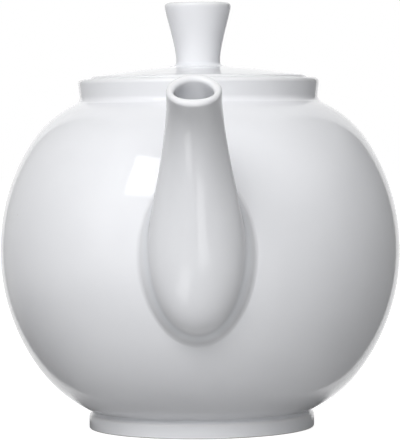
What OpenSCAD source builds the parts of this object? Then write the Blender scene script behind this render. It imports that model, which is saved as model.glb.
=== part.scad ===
// White glazed porcelain teapot, built from the pieces that a potter casts and joins with slip.
// Millimetres. Z is up, the spout points to -Y, and the origin is on the table under the pot's axis.

/* [Bowl] */
// widest diameter of the belly
belly_d = 146; // [120:1:180]
// thickness of the bowl's wall and floor
wall = 4; // [2.5:0.1:6]
// radius of the tighter arc that closes the shoulder
shoulder_r = 40; // [30:0.5:55]
// angle from the axis at which the belly turns into the shoulder
shoulder_turn = 58; // [50:1:66]
// radius of the arc that closes the base
base_r = 50; // [35:0.5:58]
// angle from the axis at which the belly turns into the base
base_turn = 55; // [48:1:64]

/* [Foot ring] */
// outer diameter of the foot ring
foot_d = 82.4; // [70:0.2:96]
// width of the foot ring
foot_w = 5.6; // [4:0.1:9]
// height of the foot ring's outer wall
foot_h = 6; // [4.5:0.1:9]
// height of the bowl's flat floor above the table
foot_recess = 3.4; // [2:0.1:4.2]
// distance from the foot ring in to the edge of the flat floor
floor_inset = 3.6; // [2:0.1:8]
// rounding of the edges that stand on the table
foot_tread_round = 1.3; // [0.4:0.1:1.8]
// rounding of the foot ring's upper edge
foot_edge_round = 0.9; // [0.3:0.1:1.4]

/* [Neck collar] */
// outer diameter of the collar at its rim
collar_d = 88.4; // [80:0.2:96]
// height of the collar above the shoulder
collar_h = 7.9; // [6:0.1:14]
// how far the collar leans out from its foot to its rim
collar_flare = 0.9; // [0:0.1:2]
// step of the small undercut at the collar's foot
collar_heel = 0.7; // [0.3:0.1:1.2]
// rounding of the collar's rim
rim_round = 1.6; // [0.5:0.1:1.8]
// diameter of the clear way through the neck
neck_d = 72; // [60:0.5:76]
// depth of the seat that takes the lid, below the rim
seat_depth = 3.3; // [2.4:0.1:5]
// rounding of the seat's inner edge
seat_round = 0.8; // [0.2:0.1:1.5]

/* [Lid] */
// diameter of the lid's cover
lid_d = 79; // [76:0.2:84]
// clearance round the cover in its seat
lid_gap = 0.4; // [0.3:0.05:1]
// height of the cover's edge above the collar's rim
lid_stand = 0.8; // [0.4:0.1:2]
// rise of the cover from its edge to the knob
lid_rise = 3.6; // [2:0.1:10]
// thickness of the cover's crown
lid_wall = 3.6; // [2.5:0.1:5]
// rounding of the cover's upper edge
lid_edge_round = 1.2; // [0.4:0.1:1.6]
// diameter of the flat patch that carries the knob
crown_d = 20; // [18.5:0.2:28]
// how far the cover's slope bows out past a straight line
lid_bow = 0.35; // [0:0.05:1]
// clearance between the flange and the neck
flange_gap = 1.1; // [0.5:0.1:2.5]
// thickness of the flange
flange_wall = 3; // [2:0.1:4.5]
// depth of the flange below the cover
flange_depth = 12.5; // [10.5:0.1:20]
// rounding of the flange's lower edges
flange_round = 1.2; // [0.3:0.1:1.4]
// diameter of the vent hole
vent_d = 3; // [1.5:0.1:5]
// distance of the vent hole from the axis
vent_r = 23; // [16:0.5:27]

/* [Lid lug] */
// angle that the lug spans round the flange
lug_arc = 26; // [16:1:50]
// how far the lug stands out from the flange
lug_reach = 3.4; // [2.2:0.1:3.8]
// height of the lug
lug_h = 3.6; // [2:0.1:4.5]
// height of the lug above the flange's lower edge
lug_rise = 0.6; // [0:0.1:1.5]
// rounding of the lug's outer edges
lug_round = 0.9; // [0.2:0.1:1]
// clearance at the lug's tip in its notch
lug_gap = 0.5; // [0.3:0.1:0.7]
// clearance angle at each end of the lug in its notch
lug_play = 3; // [1:0.5:6]

/* [Knob] */
// diameter of the knob's top
knob_d = 24.4; // [18:0.2:34]
// diameter of the knob's waist
knob_neck_d = 16; // [10:0.2:17]
// height of the knob
knob_h = 23.4; // [14:0.2:36]
// lean of the knob's side at the waist, in degrees
knob_lean_low = 3; // [0:0.5:10]
// lean of the knob's side at the top, in degrees
knob_lean_high = 11.5; // [4:0.5:20]
// rounding of the knob's top edge
knob_edge_round = 1.4; // [0.4:0.1:3]
// rise of the knob's top from its edge to its middle
knob_dome = 0.3; // [0:0.1:2]
// rounding where the knob meets the lid
knob_fillet = 1.5; // [0.5:0.1:1.8]
// thickness of the knob's foot at its edge
knob_tread = 0.3; // [0.2:0.05:0.6]
// straight left between a rounding of the knob and what comes next
knob_land = 0.1; // [0.05:0.05:0.4]

/* [Spout] */
// distance of the mouth's middle from the belly
spout_reach = 27.7; // [20:0.1:45]
// depth of the mouth's middle below the collar's rim
spout_drop = 5.9; // [-4:0.1:14]
// outer diameter of the mouth
mouth_d = 18.4; // [14:0.2:24]
// angle of the mouth's opening above level
mouth_tilt = 54.6; // [35:0.2:80]
// angle on the belly at which the underside leaves it
under_angle = -21.5; // [-30:0.5:-14]
// length of the underside's curve handle at the root
under_length = 27.8; // [15:0.2:36]
// direction of the underside at the root
under_aim = 4.2; // [-6:0.2:30]
// length of the underside's curve handle at the mouth
under_lip_length = 27.5; // [20:0.5:42]
// direction of the underside at the mouth
under_lip_aim = 33; // [30:0.5:60]
// angle on the belly at which the upper side leaves it
over_angle = 23; // [12:0.5:28]
// length of the upper side's curve handle at the root
over_length = 12; // [6:0.5:20]
// direction of the upper side at the root
over_aim = 1; // [-10:1:40]
// length of the upper side's curve handle at the mouth
over_lip_length = 15.2; // [8:0.5:24]
// direction of the upper side at the mouth
over_lip_aim = 56.2; // [40:0.5:75]
// width of the spout at its root
spout_root_w = 34.4; // [26:0.2:44]
// width that the lower bulge is drawn out to
spout_bulge_w = 36.2; // [26:0.2:48]
// width that the throat is drawn in to
spout_throat_w = 17.3; // [14:0.2:26]
// wall of the spout at its root
spout_wall = 4; // [2.5:0.1:5]
// wall of the spout at the sides of its lip
lip_wall = 2.7; // [1.6:0.1:3.6]
// wall of the spout at the front and back of its lip
lip_front = 3.3; // [1.8:0.1:4.2]
// radius of the fillet between the spout and the bowl
spout_fillet = 6; // [2:0.1:8]

/* [Strainer] */
// diameter of a strainer hole
strainer_d = 4.2; // [2.5:0.1:5]
// land between the outermost holes and the spout's bore
strainer_land = 3.4; // [1.5:0.1:5]
// number of rows of strainer holes
strainer_rows = 5; // [3:2:5]
// holes in each wider row, the rows between have one less
strainer_columns = 3; // [2:1:3]

/* [Handle] */
// angle on the belly at which the handle's upper end sits
handle_high = 32; // [20:0.5:36]
// angle on the belly at which the handle's lower end sits
handle_low = -25; // [-30:0.5:-12]
// length of the curve handle at the upper end
handle_high_length = 72; // [45:0.5:85]
// direction of the handle at the upper end
handle_high_aim = 25; // [0:1:40]
// length of the curve handle at the lower end
handle_low_length = 80; // [50:0.5:95]
// direction of the handle at the lower end
handle_low_aim = 4; // [-15:1:30]
// width of the handle at the upper end
handle_w_high = 15; // [9:0.1:18]
// width of the handle at the lower end
handle_w_low = 12.4; // [8:0.1:16]
// thickness of the handle at the upper end
handle_t_high = 10.4; // [7:0.1:13]
// thickness of the handle at the lower end
handle_t_low = 8.8; // [6:0.1:12]
// radius of the fillets between the handle and the bowl
handle_fillet = 3.2; // [1.5:0.1:5]

/* [Joints] */
// film of slip between the bowl and what is joined to its curved wall
slip = 0.05; // [0.03:0.01:0.12]
// share of a quarter turn at which a fillet is cut off at the joint
fillet_trim = 0.3; // [0.1:0.05:0.4]

/* [Smoothness] */
// points round the spout
spout_sides = 44; // [24:4:60]
// rings along the spout
spout_rings = 22; // [12:1:30]
// points round the handle
handle_sides = 28; // [16:4:40]
// rings along the handle
handle_rings = 30; // [16:1:40]
// steps across a fillet or a lip
fillet_steps = 5; // [3:1:8]
// rings across a joint face
joint_rings = 4; // [3:1:6]
// points along a curved profile
curve_steps = 9; // [5:1:16]
// angle of one step round a rounded profile corner
corner_step = 15; // [6:1:30]

/* [Hidden] */
$fa = 4;
$fs = 0.4;
full_turn = 360;
quarter = 90;
// angle between rows of holes set as close as they go
packing_angle = 60;
// halvings that find where a curve crosses the bowl
search_steps = 24;
// place along the handle up to which its upper end is searched for
half_way = 0.5;

belly_r = belly_d/2;
foot_r = foot_d/2;
foot_in_r = foot_r - foot_w;
floor_r = foot_in_r - floor_inset;
neck_r = neck_d/2;
lid_r = lid_d/2;
crown_r = crown_d/2;

// arcs of the bowl's profile, each as [radius, height over the belly's middle]
base_mid = from_axis(belly_r - base_r, 2*quarter - base_turn);
shoulder_mid = from_axis(belly_r - shoulder_r, shoulder_turn);
floor_turn = asin((floor_r - base_mid[0])/base_r);
belly_z = foot_recess - base_mid[1] + base_r*cos(floor_turn);
base_at = [base_mid[0], belly_z + base_mid[1]];
shoulder_at = [shoulder_mid[0], belly_z + shoulder_mid[1]];

collar_r = collar_d/2;
collar_low_r = collar_r - collar_flare;
joint_r = collar_low_r - collar_heel;
joint_turn = asin((joint_r - shoulder_mid[0])/shoulder_r);
joint_z = shoulder_at[1] + shoulder_r*cos(joint_turn);
rim_z = joint_z + collar_h;
seat_r = lid_r + lid_gap;
seat_z = rim_z - seat_depth;

lid_edge_z = rim_z + lid_stand;
crown_z = lid_edge_z + lid_rise;
flange_r = neck_r - flange_gap;
flange_in_r = flange_r - flange_wall;
flange_z = seat_z - flange_depth;
lug_r = flange_r + lug_reach;
lug_z = flange_z + lug_rise;
notch_r = lug_r + lug_gap;
knob_r = knob_d/2;
knob_neck_r = knob_neck_d/2;
knob_top_z = crown_z + knob_h;

// side view of the spout: [distance from the axis, height]
mouth_mid = [belly_r + spout_reach, rim_z - spout_drop];
mouth_half = polar(mouth_d/2, mouth_tilt + quarter);
mouth_way = polar(1, mouth_tilt);
under_start = belly_point(under_angle);
under_end = mouth_mid - mouth_half;
over_start = belly_point(over_angle);
over_end = mouth_mid + mouth_half;
under_curve = [
    under_start,
    under_start + polar(under_length, under_aim),
    under_end - polar(under_lip_length, under_lip_aim),
    under_end
];
over_curve = [
    over_start,
    over_start + polar(over_length, over_aim),
    over_end - polar(over_lip_length, over_lip_aim),
    over_end
];
half_widths = [spout_root_w, spout_bulge_w, spout_throat_w, mouth_d]/2;
strainer_pitch = half_widths[0] - spout_wall - strainer_land - strainer_d/2;
strainer_row_step = strainer_pitch*sin(packing_angle);
strainer_z = belly_point((under_angle + over_angle)/2)[1];

// side view of the handle, its ends sunk so that every section starts inside the bowl
handle_start = belly_point(handle_high) - polar(handle_t_high, handle_high);
handle_end = belly_point(handle_low) - polar(handle_t_low, handle_low);
handle_curve = [
    handle_start,
    handle_start + polar(handle_high_length, handle_high_aim),
    handle_end + polar(handle_low_length, handle_low_aim),
    handle_end
];

function polar(length, angle) = length*[cos(angle), sin(angle)];
function from_axis(length, angle) = length*[sin(angle), cos(angle)];
function unit(v) = v/norm(v);
function mix(a, b, t) = a + (b - a)*t;
function flat(p) = [p[0], p[1]];
function belly_point(angle) = [0, belly_z] + polar(belly_r, angle);

function bezier(p, t) =
    pow(1 - t, 3)*p[0] + 3*pow(1 - t, 2)*t*p[1] + 3*(1 - t)*t*t*p[2] + pow(t, 3)*p[3];

function bezier_slope(p, t) =
    pow(1 - t, 2)*(p[1] - p[0]) + 2*(1 - t)*t*(p[2] - p[1]) + t*t*(p[3] - p[2]);

// one corner of a profile, rounded by an arc; a corner is [radius, height, rounding]
function corner(before, here, after) =
    here[2] <= 0 ? [flat(here)] :
    let (
        back = unit(flat(before) - flat(here)),
        on = unit(flat(after) - flat(here)),
        half = acos(back*on)/2,
        arc_mid = flat(here) + unit(back + on)*here[2]/sin(half),
        from = flat(here) + back*here[2]/tan(half) - arc_mid,
        to = flat(here) + on*here[2]/tan(half) - arc_mid,
        start = atan2(from[1], from[0]),
        turn = atan2(from[0]*to[1] - from[1]*to[0], from*to),
        steps = ceil(abs(turn)/corner_step)
    )
    [for (k = [0:steps]) arc_mid + polar(here[2], start + turn*k/steps)];

function rounded(path) = [
    for (i = [0:len(path) - 1])
        each corner(path[(i + len(path) - 1) % len(path)], path[i], path[(i + 1) % len(path)])
];

// the bowl's arc that faces a point, as [radius and height of its middle, its own radius]
function facing_arc(p) =
    let (angle = atan2(norm(flat(p)), p[2] - belly_z))
    angle < shoulder_turn ? [shoulder_at[0], shoulder_at[1], shoulder_r] :
    angle > 2*quarter - base_turn ? [base_at[0], base_at[1], base_r] :
    [0, belly_z, belly_r];

function off_arc(p, arc) = [norm(flat(p)) - arc[0], p[2] - arc[1]];

// height of a point over the bowl's outside
function lift(p) = let (arc = facing_arc(p)) norm(off_arc(p, arc)) - arc[2];

// a point moved square to the bowl until it has a given height over it
function set_lift(p, height) =
    let (
        arc = facing_arc(p),
        on_arc = unit(off_arc(p, arc))*(arc[2] + height),
        turn = flat(p)/norm(flat(p))*(arc[0] + on_arc[0])
    )
    [turn[0], turn[1], arc[1] + on_arc[1]];

// direction square to the bowl at a point
function bowl_normal(p) = unit(set_lift(p, 1) - set_lift(p, 0));

// a point pushed along the bowl, away from a middle, and set to a height over it
function spread(p, middle, reach, height) =
    let (
        n = bowl_normal(p),
        away = p - middle,
        along = unit(away - n*(away*n))
    )
    set_lift(p + along*reach, height);

// height over the bowl, and push along it, at a step of a fillet; 0 is the joint
function fillet_angle(k) = mix(quarter*fillet_trim, quarter, k/fillet_steps);
function fillet_rise(k, r) = r*(1 - cos(fillet_angle(k)));
function fillet_push(k, r) = r*(1 - sin(fillet_angle(k)));

// a point of the spout at t along it and at an angle round it; inside is 0 on its outer face, 1 on its bore
function spout_middle(t) = (bezier(under_curve, t) + bezier(over_curve, t))/2;
function spout_half(t) = (bezier(over_curve, t) - bezier(under_curve, t))/2;
function to_front(p, x) = [x, -p[0], p[1]];
function spout_point(t, angle, inside) =
    let (
        half = spout_half(t),
        front = half - unit(half)*inside*mix(spout_wall, lip_front, t),
        side = bezier(half_widths, t) - inside*mix(spout_wall, lip_wall, t)
    )
    to_front(spout_middle(t) + front*cos(angle), side*sin(angle));

// how far along the spout its outer face, or its bore, reaches a height over the bowl
function spout_cross(angle, inside, height, low = 0, high = 1, n = search_steps) =
    let (t = (low + high)/2)
    n == 0 ? t :
    lift(spout_point(t, angle, inside)) < height ?
        spout_cross(angle, inside, height, t, high, n - 1) :
        spout_cross(angle, inside, height, low, t, n - 1);

function spout_fillet_point(k, angle) =
    let (t = spout_cross(angle, 0, fillet_rise(k, spout_fillet)))
    spread(
        spout_point(t, angle, 0),
        to_front(spout_middle(t), 0),
        fillet_push(k, spout_fillet),
        fillet_rise(k, spout_fillet)
    );

function spout_joint_outer(angle) = set_lift(spout_fillet_point(0, angle), slip);
function spout_joint_inner(angle) =
    set_lift(spout_point(spout_cross(angle, 1, slip), angle, 1), slip);

// the rounded lip, from the outer face over to the bore
function lip_point(turn, angle) =
    let (out = mouth_way*mix(lip_wall, lip_front, pow(cos(angle), 2))/2*sin(turn))
    spout_point(1, angle, (1 - cos(turn))/2) + to_front(out, 0);

function spout_angles() = [for (k = [0:spout_sides - 1]) full_turn*k/spout_sides];

function spout_ring_list() = let (angles = spout_angles()) concat(
    [[for (a = angles) spout_joint_outer(a)]],
    [for (k = [0:fillet_steps - 1]) [for (a = angles) spout_fillet_point(k, a)]],
    let (starts = [for (a = angles) spout_cross(a, 0, spout_fillet)])
    [
        for (i = [0:spout_rings - 1])
            [for (k = [0:spout_sides - 1]) spout_point(mix(starts[k], 1, i/spout_rings), angles[k], 0)]
    ],
    [
        for (i = [0:2*fillet_steps])
            [for (a = angles) lip_point(2*quarter*i/(2*fillet_steps), a)]
    ],
    let (starts = [for (a = angles) spout_cross(a, 1, slip)])
    [
        for (i = [1:spout_rings - 1])
            [
                for (k = [0:spout_sides - 1])
                    spout_point(mix(1, starts[k], i/spout_rings), angles[k], 1)
            ]
    ],
    [
        for (j = [0:joint_rings - 1])
            [
                for (a = angles)
                    set_lift(mix(spout_joint_inner(a), spout_joint_outer(a), j/joint_rings), slip)
            ]
    ]
);

// triangles of a band of rings; a closed band joins its last ring to its first
function band_faces(rings, sides, closed) = [
    for (i = [0:rings - (closed ? 1 : 2)], k = [0:sides - 1])
        let (
            here = i*sides,
            next = ((i + 1) % rings)*sides,
            right = (k + 1) % sides
        )
        each [
            [here + k, next + k, next + right],
            [here + k, next + right, here + right]
        ]
];

// a point of the handle at t along it and at an angle round it
function to_back(p, x) = [x, p[0], p[1]];
function handle_point(t, angle) =
    let (
        way = unit(bezier_slope(handle_curve, t)),
        across = [-way[1], way[0]],
        side = bezier(handle_curve, t) + across*mix(handle_t_high, handle_t_low, t)/2*cos(angle)
    )
    to_back(side, mix(handle_w_high, handle_w_low, t)/2*sin(angle));

// how far along the handle its face reaches a height over the bowl, from one of its ends
function handle_cross(angle, height, end, low = 0, high = half_way, n = search_steps) =
    let (
        t = (low + high)/2,
        inside = lift(handle_point(abs(end - t), angle)) < height
    )
    n == 0 ? abs(end - t) :
    handle_cross(angle, height, end, inside ? t : low, inside ? high : t, n - 1);

function handle_fillet_point(k, angle, end) =
    let (t = handle_cross(angle, fillet_rise(k, handle_fillet), end))
    spread(
        handle_point(t, angle),
        to_back(bezier(handle_curve, t), 0),
        fillet_push(k, handle_fillet),
        fillet_rise(k, handle_fillet)
    );

function handle_joint_middle(end) =
    set_lift(to_back(belly_point(end == 0 ? handle_high : handle_low), 0), slip);

function handle_joint_point(share, angle, end) =
    let (edge = set_lift(handle_fillet_point(0, angle, end), slip))
    set_lift(mix(handle_joint_middle(end), edge, share), slip);

function handle_ring_list() =
    let (
        angles = [for (k = [0:handle_sides - 1]) full_turn*k/handle_sides],
        starts = [for (a = angles) handle_cross(a, handle_fillet, 0)],
        ends = [for (a = angles) handle_cross(a, handle_fillet, 1)]
    )
    concat(
        [for (j = [1:joint_rings]) [for (a = angles) handle_joint_point(j/joint_rings, a, 0)]],
        [for (k = [0:fillet_steps - 1]) [for (a = angles) handle_fillet_point(k, a, 0)]],
        [
            for (i = [0:handle_rings])
                [
                    for (k = [0:handle_sides - 1])
                        handle_point(mix(starts[k], ends[k], i/handle_rings), angles[k])
                ]
        ],
        [for (k = [fillet_steps - 1:-1:0]) [for (a = angles) handle_fillet_point(k, a, 1)]],
        [for (j = [joint_rings:-1:1]) [for (a = angles) handle_joint_point(j/joint_rings, a, 1)]]
    );

// the bowl's outline filled in and moved in by an inset, its arcs overlapping inside
module bowl_fill(inset) {
    reach = 2*belly_r;
    middle_turn = (shoulder_turn + 2*quarter - base_turn)/2;
    belly_at = [0, belly_z];
    floor_z = foot_recess + inset;
    intersection() {
        union() {
            intersection() {
                translate(belly_at)
                    circle(belly_r - inset);
                polygon([
                    belly_at,
                    belly_at + from_axis(reach, shoulder_turn),
                    belly_at + from_axis(reach, middle_turn),
                    belly_at + from_axis(reach, 2*quarter - base_turn)
                ]);
            }
            translate(shoulder_at)
                circle(shoulder_r - inset);
            translate(base_at)
                circle(base_r - inset);
            polygon([[0, floor_z], [base_at[0], floor_z], base_at, shoulder_at, [0, shoulder_at[1]]]);
        }
        translate([0, floor_z])
            square([belly_r, joint_z - floor_z]);
    }
}

// the way that lets the lug down through the collar and the neck
module lug_notch() {
    rotate([0, 0, -quarter - lug_arc/2 - lug_play])
        rotate_extrude(angle = lug_arc + 2*lug_play)
            translate([flange_in_r, flange_z])
                square([notch_r - flange_in_r, rim_z - flange_z]);
}

module strainer_holes() {
    middle = (strainer_rows - 1)/2;
    for (row = [0:strainer_rows - 1]) {
        columns = strainer_columns - (row % 2);
        for (column = [0:columns - 1])
            translate([
                (column - (columns - 1)/2)*strainer_pitch,
                -belly_r - wall,
                strainer_z + (row - middle)*strainer_row_step
            ])
                rotate([-quarter, 0, 0])
                    cylinder(h = belly_r + wall, d = strainer_d);
    }
}

module bowl() {
    color("white")
        difference() {
            rotate_extrude()
                difference() {
                    bowl_fill(0);
                    bowl_fill(wall);
                    translate([0, belly_z])
                        square([neck_r, belly_r]);
                }
            lug_notch();
            strainer_holes();
        }
}

module foot_ring() {
    color("ivory")
        rotate_extrude()
            difference() {
                polygon(rounded([
                    [foot_in_r, 0, foot_tread_round],
                    [foot_r, 0, foot_tread_round],
                    [foot_r, foot_h, foot_edge_round],
                    [foot_in_r, foot_h, 0]
                ]));
                translate(base_at)
                    circle(base_r);
            }
}

module neck_collar() {
    color("whitesmoke")
        difference() {
            rotate_extrude()
                polygon(rounded([
                    [neck_r, joint_z, 0],
                    [joint_r, joint_z, 0],
                    [collar_low_r, joint_z + collar_heel, collar_heel/2],
                    [collar_r, rim_z, rim_round],
                    [seat_r, rim_z, rim_round],
                    [seat_r, seat_z, 0],
                    [neck_r, seat_z, seat_round]
                ]));
            lug_notch();
        }
}

module spout() {
    rings = spout_ring_list();
    color("snow")
        polyhedron([for (r = rings) each r], band_faces(len(rings), spout_sides, true));
}

module handle() {
    rings = handle_ring_list();
    points = [for (r = rings) each r];
    last = len(points) - handle_sides;
    first_middle = len(points);
    last_middle = first_middle + 1;
    color("snow")
        polyhedron(
            concat(points, [handle_joint_middle(0), handle_joint_middle(1)]),
            concat(
                band_faces(len(rings), handle_sides, false),
                [for (k = [0:handle_sides - 1]) [first_middle, k, (k + 1) % handle_sides]],
                [for (k = [0:handle_sides - 1]) [last_middle, last + (k + 1) % handle_sides, last + k]]
            )
        );
}

// the cover's slope from its edge in to the knob, lowered by a depth
function cover_slope(outer, depth) = [
    for (i = [1:curve_steps])
        let (
            t = i/curve_steps,
            r = mix(outer, crown_r, t),
            share = (lid_r - r)/(lid_r - crown_r)
        )
        [r, lid_edge_z + lid_rise*share + 4*lid_bow*share*(1 - share) - depth, 0]
];

module lid_cover() {
    under = cover_slope(flange_in_r, lid_wall);
    color("white")
        difference() {
            rotate_extrude()
                polygon(rounded(concat(
                    [[lid_r, seat_z, 0], [lid_r, lid_edge_z, lid_edge_round]],
                    cover_slope(lid_r, 0),
                    [[0, crown_z, 0], [0, crown_z - lid_wall, 0]],
                    [for (i = [len(under) - 1:-1:0]) under[i]],
                    [[flange_in_r, seat_z, 0]]
                )));
            translate([0, vent_r, seat_z])
                cylinder(h = crown_z - seat_z, d = vent_d);
        }
}

module lid_flange() {
    color("whitesmoke")
        rotate_extrude()
            polygon(rounded([
                [flange_in_r, flange_z, flange_round],
                [flange_r, flange_z, flange_round],
                [flange_r, seat_z, 0],
                [flange_in_r, seat_z, 0]
            ]));
}

module lid_lug() {
    color("ivory")
        rotate([0, 0, -quarter - lug_arc/2])
            rotate_extrude(angle = lug_arc)
                polygon(rounded([
                    [flange_r, lug_z, 0],
                    [lug_r, lug_z, lug_round],
                    [lug_r, lug_z + lug_h, lug_round],
                    [flange_r, lug_z + lug_h, 0]
                ]));
}

module lid_knob() {
    waist_z = crown_z + knob_tread + knob_fillet + knob_land;
    edge_z = knob_top_z - knob_dome - knob_edge_round - knob_land;
    flare = (edge_z - waist_z)/3;
    foot_edge = knob_neck_r + knob_fillet + knob_land;
    side = [
        [knob_neck_r, waist_z],
        [knob_neck_r, waist_z] + flare*[tan(knob_lean_low), 1],
        [knob_r, edge_z] - flare*[tan(knob_lean_high), 1],
        [knob_r, edge_z]
    ];
    color("snow")
        rotate_extrude()
            polygon(rounded(concat(
                [
                    [0, crown_z, 0],
                    [foot_edge, crown_z, 0],
                    [foot_edge, crown_z + knob_tread, 0],
                    [knob_neck_r, crown_z + knob_tread, knob_fillet]
                ],
                [
                    for (i = [1:curve_steps])
                        let (p = bezier(side, i/curve_steps))
                        [p[0], p[1], 0]
                ],
                [[knob_r, knob_top_z - knob_dome, knob_edge_round], [0, knob_top_z, 0]]
            )));
}

bowl();
foot_ring();
neck_collar();
spout();
handle();
lid_cover();
lid_flange();
lid_lug();
lid_knob();
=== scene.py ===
"""Looks of the white porcelain teapot: smooth glazed pieces over the CAD solids, camera and studio."""

import math

import bpy
import numpy as np
from mathutils import Matrix, Vector


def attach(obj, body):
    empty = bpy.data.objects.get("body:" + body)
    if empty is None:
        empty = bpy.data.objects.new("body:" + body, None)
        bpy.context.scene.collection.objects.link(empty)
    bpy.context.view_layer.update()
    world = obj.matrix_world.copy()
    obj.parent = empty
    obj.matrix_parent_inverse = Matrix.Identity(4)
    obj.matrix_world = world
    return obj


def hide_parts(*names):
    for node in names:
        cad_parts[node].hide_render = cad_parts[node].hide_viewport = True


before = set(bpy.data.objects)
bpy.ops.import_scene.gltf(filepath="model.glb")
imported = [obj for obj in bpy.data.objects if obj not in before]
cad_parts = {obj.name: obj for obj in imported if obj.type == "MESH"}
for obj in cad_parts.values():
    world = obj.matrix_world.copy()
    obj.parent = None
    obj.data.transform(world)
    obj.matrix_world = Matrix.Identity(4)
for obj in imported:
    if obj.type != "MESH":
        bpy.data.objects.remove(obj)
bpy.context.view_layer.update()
scene = bpy.context.scene
MM = 0.001

# Sizes in millimetres and angles in degrees, the same values as in the CAD source
BELLY_R, WALL = 73.0, 4.0
SHOULDER_R, SHOULDER_TURN = 40.0, 58.0
BASE_R, BASE_TURN = 50.0, 55.0
FOOT_R, FOOT_W, FOOT_RECESS, FLOOR_INSET, TREAD_ROUND = 41.2, 5.6, 3.4, 3.6, 1.3
COLLAR_R, COLLAR_H, COLLAR_FLARE, COLLAR_HEEL, RIM_ROUND = 44.2, 7.9, 0.9, 0.7, 1.6
NECK_R, SEAT_DEPTH, SEAT_ROUND = 36.0, 3.3, 0.8
LID_R, LID_GAP, LID_STAND, LID_RISE, LID_WALL = 39.5, 0.4, 0.8, 3.6, 3.6
LID_EDGE_ROUND, CROWN_R, LID_BOW = 1.2, 10.0, 0.35
FLANGE_GAP, FLANGE_WALL, FLANGE_DEPTH, FLANGE_ROUND = 1.1, 3.0, 12.5, 1.2
VENT_R, VENT_AT = 1.5, 23.0
LUG_ARC, LUG_REACH, LUG_H, LUG_RISE, LUG_ROUND, LUG_GAP, LUG_PLAY = 26.0, 3.4, 3.6, 0.6, 0.9, 0.5, 3.0
KNOB_R, KNOB_NECK_R, KNOB_H = 12.2, 8.0, 23.4
KNOB_LEAN_LOW, KNOB_LEAN_HIGH = 3.0, 11.5
KNOB_EDGE_ROUND, KNOB_DOME, KNOB_FILLET, KNOB_TREAD = 1.4, 0.3, 1.5, 0.3
SPOUT_DROP, MOUTH_R, ROOT_HALF, BULGE_HALF = 5.9, 9.2, 17.2, 18.1
UNDER_ANGLE, UNDER_AIM = -21.5, 4.2
OVER_ANGLE, OVER_RUN, OVER_AIM, OVER_LIP_RUN, OVER_LIP_AIM = 23.0, 12.0, 1.0, 15.2, 56.2
SPOUT_WALL, LIP_WALL, LIP_FRONT, FILLET_TRIM = 4.0, 2.7, 3.3, 0.3
STRAINER_R, STRAINER_LAND, STRAINER_ROWS, STRAINER_COLUMNS, PACKING_ANGLE = 2.1, 3.4, 5, 3, 60.0
HANDLE_HIGH, HANDLE_LOW = 32.0, -25.0
HANDLE_HIGH_RUN, HANDLE_HIGH_AIM, HANDLE_LOW_RUN, HANDLE_LOW_AIM = 72.0, 25.0, 80.0, 4.0
HANDLE_W, HANDLE_T, HANDLE_FILLET = (15.0, 12.4), (10.4, 8.8), 3.2

# The spout's own values here, a little leaner under the lip and flatter at the mouth than in the source
SPOUT_REACH, MOUTH_TILT, THROAT_HALF = 27.5, 57.0, 8.7
UNDER_RUN, UNDER_LIP_RUN, UNDER_LIP_AIM = 26.0, 34.0, 31.0
# Its sides are swept back, and the last part of its bore, from a share of its length, turns egg-shaped
SPOUT_SWEEP, MOUTH_EGG, EGG_FROM = 3.0, 0.18, 0.7
# The soft ring round its root: stretches up it from the bowl, the tilt at their ends, where glaze pools
RING_RUNS, RING_TILTS, RING_POOL = (2.1, 2.4, 1.7), (0.0, 52.0, 44.0, 88.0), 0.6
# Where on its curves the search for the root starts, and how far root and bore end off the bowl's face
ROOT_START, ROOT_SUNK, BORE_LIFT = -0.02, 0.02, 0.05

# Edges, coves and pools as the glaze leaves them, with coves sunk by a hair into what they run out on
TREAD_EDGE, FOOT_EDGE_ROUND, FOOT_EDGE_TURN, FOOT_COVE = 0.5, 1.5, 50.0, 0.8
COLLAR_COVE, SUNK, SEAT_CORNER = 2.6, 0.01, 0.25
LID_FOOT_ROUND, LID_HOLLOW_RISE, LID_HOLLOW_ROUND = 0.3, 1.2, 1.0
LUG_END_SHARE, HANDLE_POOL = 0.6, 1.2
KNOB_SKIRT, KNOB_SKIRT_H, KNOB_COVE_H, KNOB_COVE = 0.9, 0.02, 0.05, 0.2
KNOB_SWELL, KNOB_DOME_AT, KNOB_DOME_DROP = 0.03, 0.55, 0.04

# How far hidden faces reach into the piece that they join, and the notch's cutter over the seat
FOOT_LAP_OUT, FOOT_LAP_IN, COLLAR_LAP_IN, COLLAR_LAP_OUT, COLLAR_LAP_DOWN = 0.3, 0.2, 0.5, 0.3, 0.5
LUG_LAP, KNOB_LAP, NOTCH_OVER = 0.2, 0.5, 1.0
# Where the foot's hidden top bends, as a share of its width
FOOT_TOP_AT = 0.3

# Limits below which lengths, turns and distances from the axis count as none
TINY, STRAIGHT, ON_AXIS = 1e-6, 1e-4, 1e-3


def polar(length, angle):
    return length * np.array([math.cos(math.radians(angle)), math.sin(math.radians(angle))])


def from_axis(length, angle):
    return length * np.array([math.sin(math.radians(angle)), math.cos(math.radians(angle))])


def unit(v):
    return v / np.linalg.norm(v, axis=-1, keepdims=True)


def mix(a, b, t):
    return a + (b - a) * t


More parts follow.
